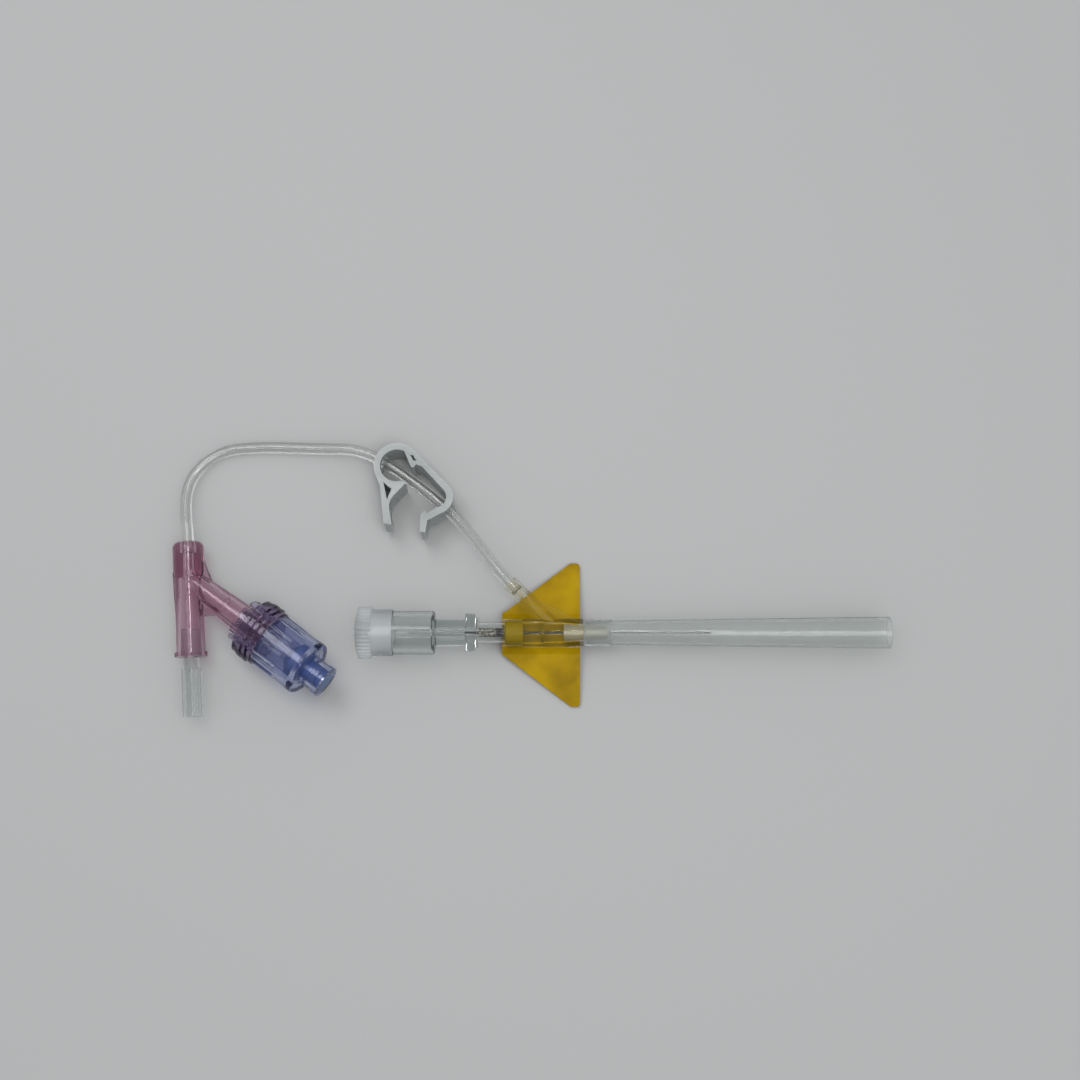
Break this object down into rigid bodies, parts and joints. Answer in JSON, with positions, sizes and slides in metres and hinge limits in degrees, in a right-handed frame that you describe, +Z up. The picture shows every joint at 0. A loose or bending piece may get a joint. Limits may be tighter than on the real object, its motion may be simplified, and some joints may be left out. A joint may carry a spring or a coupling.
{
  "type": "iv cannula",
  "caption": "Closed safety IV cannula with soft wings, needle guard and cover, extension line with pinch clamp, Y-connector, end plug and needle-free connector.",
  "frame": {"origin": "middle of the surface that the set lies on, under the whole set without its free line", "axes": "+X runs along the cannula from its grip cap to the needle tip, +Y from the cannula to the side that its line leaves on, +Z up from the surface"},
  "size_m": [0.1459, 0.0572, 0.0141],
  "materials": {
    "clear_hard": "clear, glossy",
    "clear_frosted": "frosted",
    "white_filter": "porous",
    "steel": "polished",
    "clear_cover": "clear, glossy",
    "nose_white": "satin",
    "catheter": "satin",
    "wing_yellow": "soft satin",
    "septum_olive": "satin",
    "seal_olive": "satin",
    "line_clear": "clear, glossy",
    "clamp_blue": "satin",
    "pink_clear": "clear, glossy",
    "violet": "satin",
    "violet_blue": "satin",
    "piston_blue": "satin"
  },
  "bodies": {
    "cannula": {"cannula_hub": "clear_hard", "wings": "wing_yellow", "catheter_tube": "catheter", "nose_sleeve": "nose_white", "septum": "septum_olive", "seal_disc": "seal_olive", "extension_tube": "line_clear", "y_connector": "pink_clear"},
    "cover": {"needle_cover": "clear_cover"},
    "guard": {"guard_housing": "clear_hard", "safety_clip": "steel"},
    "needle_assembly": {"needle": "steel", "needle_holder": "clear_hard", "flash_barrel": "clear_hard", "flash_filter": "white_filter", "grip_cap": "clear_frosted"},
    "clamp": {"pinch_clamp": "clamp_blue"},
    "plug": {"end_plug": "clear_hard"},
    "connector": {"connector_base": "violet", "connector_housing": "violet_blue"},
    "piston": {"valve_piston": "piston_blue"}
  },
  "joints": [
    {"name": "cover_pull", "type": "slide", "parent": "cannula", "child": "cover", "axis": [1, 0, 0], "range_m": [0, 0.04]},
    {"name": "guard_pull", "type": "slide", "parent": "cannula", "child": "guard", "axis": [-1, 0, 0], "range_m": [0, 0.0015]},
    {"name": "needle_draw", "type": "slide", "parent": "guard", "child": "needle_assembly", "axis": [-1, 0, 0], "range_m": [0, 0.002]},
    {"name": "clamp_slide", "type": "slide", "parent": "cannula", "child": "clamp", "axis": [-0.7975, 0.6033, 0], "range_m": [-0.002, 0.002]},
    {"name": "plug_pull", "type": "slide", "parent": "cannula", "child": "plug", "axis": [0.0576, -0.9983, 0], "range_m": [0, 0.012]},
    {"name": "connector_pull", "type": "slide", "parent": "cannula", "child": "connector", "axis": [0.7945, -0.5913, 0.138], "range_m": [0, 0.012]},
    {"name": "piston_press", "type": "slide", "parent": "connector", "child": "piston", "axis": [-0.7945, 0.5913, -0.138], "range_m": [0, 0.003], "stiffness_N_per_m": 800}
  ]
}
